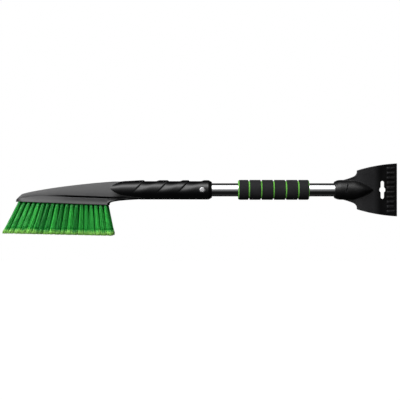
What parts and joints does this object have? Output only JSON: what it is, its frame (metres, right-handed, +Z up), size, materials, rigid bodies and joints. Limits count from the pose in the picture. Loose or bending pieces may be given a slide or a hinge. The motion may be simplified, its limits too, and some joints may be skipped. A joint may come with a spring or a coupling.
{
  "type": "snow broom",
  "caption": "Hand snow broom for a car: fanned bristles on a brush head with a grip, locked by a push button on a metal tube with a foam grip and an ice scraper.",
  "frame": {"origin": "under the middle of the object, level with the lowest bristle tips", "axes": "+X along the pole from the brush to the scraper, +Z up with the bristles pointing down, +Y away from the side that carries the lock button"},
  "size_m": [0.683, 0.0464, 0.1252],
  "materials": {
    "head_plastic": "satin",
    "bristle_green": "matte",
    "tube_aluminium": "polished",
    "button_steel": "satin",
    "spring_steel": "satin",
    "foam_green": "matte",
    "foam_black": "matte",
    "scraper_plastic": "satin",
    "rivet_aluminium": "satin"
  },
  "bodies": {
    "pole": {"pole_tube": "tube_aluminium", "lock_spring": "spring_steel", "grip_core": "foam_green", "grip_ring_1": "foam_black", "grip_ring_2": "foam_black", "grip_ring_3": "foam_black", "grip_ring_4": "foam_black", "grip_ring_5": "foam_black", "grip_ring_6": "foam_black", "ice_scraper": "scraper_plastic", "scraper_rivet": "rivet_aluminium"},
    "brush_head": {"brush_head": "head_plastic", "bristle_column_01": "bristle_green", "bristle_column_02": "bristle_green", "bristle_column_03": "bristle_green", "bristle_column_04": "bristle_green", "bristle_column_05": "bristle_green", "bristle_column_06": "bristle_green", "bristle_column_07": "bristle_green", "bristle_column_08": "bristle_green", "bristle_column_09": "bristle_green", "bristle_column_10": "bristle_green", "bristle_column_11": "bristle_green", "bristle_column_12": "bristle_green", "bristle_column_13": "bristle_green", "bristle_column_14": "bristle_green", "bristle_column_15": "bristle_green", "bristle_column_16": "bristle_green", "bristle_column_17": "bristle_green", "bristle_column_18": "bristle_green", "bristle_column_19": "bristle_green"},
    "lock_button": {"lock_button": "button_steel"}
  },
  "joints": [
    {"name": "head_slide", "type": "slide", "parent": "pole", "child": "brush_head", "axis": [-1, 0, 0], "range_m": [0, 0.135]},
    {"name": "button_press", "type": "slide", "parent": "pole", "child": "lock_button", "axis": [0, 1, 0], "range_m": [0, 0.006], "stiffness_N_per_m": 1200, "springref_m": -0.003, "deforming": ["lock_spring"]}
  ]
}
